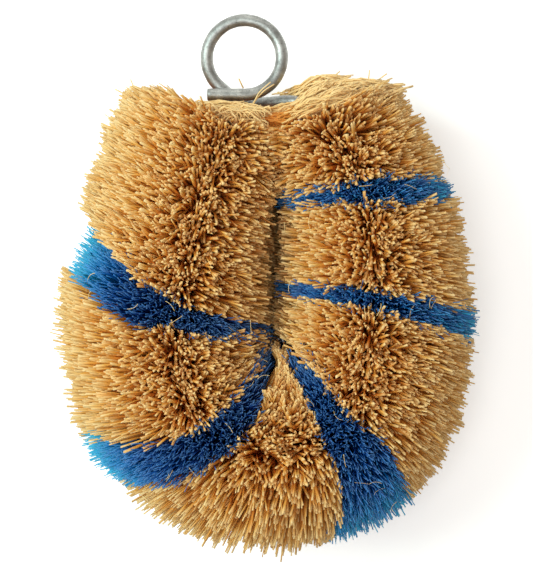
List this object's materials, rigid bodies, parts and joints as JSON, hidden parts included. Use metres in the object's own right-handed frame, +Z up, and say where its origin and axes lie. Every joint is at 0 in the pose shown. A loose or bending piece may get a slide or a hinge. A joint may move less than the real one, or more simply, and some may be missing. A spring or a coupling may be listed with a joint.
{
  "type": "palm fiber scrub brush",
  "caption": "Hand scrub brush of palm fibre and blue fibre bands gripped between two twisted wires, bent into a U of two thick lobes, with a wire ring to hang it by.",
  "frame": {"origin": "centre of the brush's bounding box in X and Y, on the plane of the trimmed bristle tips that it lies on", "axes": "+Z up through the brush's thickness, +Y along the brush towards the hanging ring, +X to the right as seen from above with the ring at the far end"},
  "size_m": [0.0984, 0.1292, 0.0522],
  "materials": {
    "galvanised_wire": "dull zinc-coated round wire",
    "palm_fibre": "dry, stiff straw-coloured palm fibre with trimmed tips",
    "blue_fibre": "finer fibre, dyed deep blue, with a slight sheen"
  },
  "bodies": {
    "root": {"ring_wire": "galvanised_wire", "binding_wire": "galvanised_wire", "natural_fibre_left_top": "palm_fibre", "blue_band_left_upper": "blue_fibre", "natural_fibre_left_side": "palm_fibre", "blue_band_left_lower": "blue_fibre", "natural_fibre_bottom": "palm_fibre", "blue_band_right_lower": "blue_fibre", "natural_fibre_right_side": "palm_fibre", "blue_band_right_middle": "blue_fibre", "natural_fibre_right_middle": "palm_fibre", "blue_band_right_upper": "blue_fibre", "natural_fibre_right_top": "palm_fibre"}
  },
  "joints": []
}
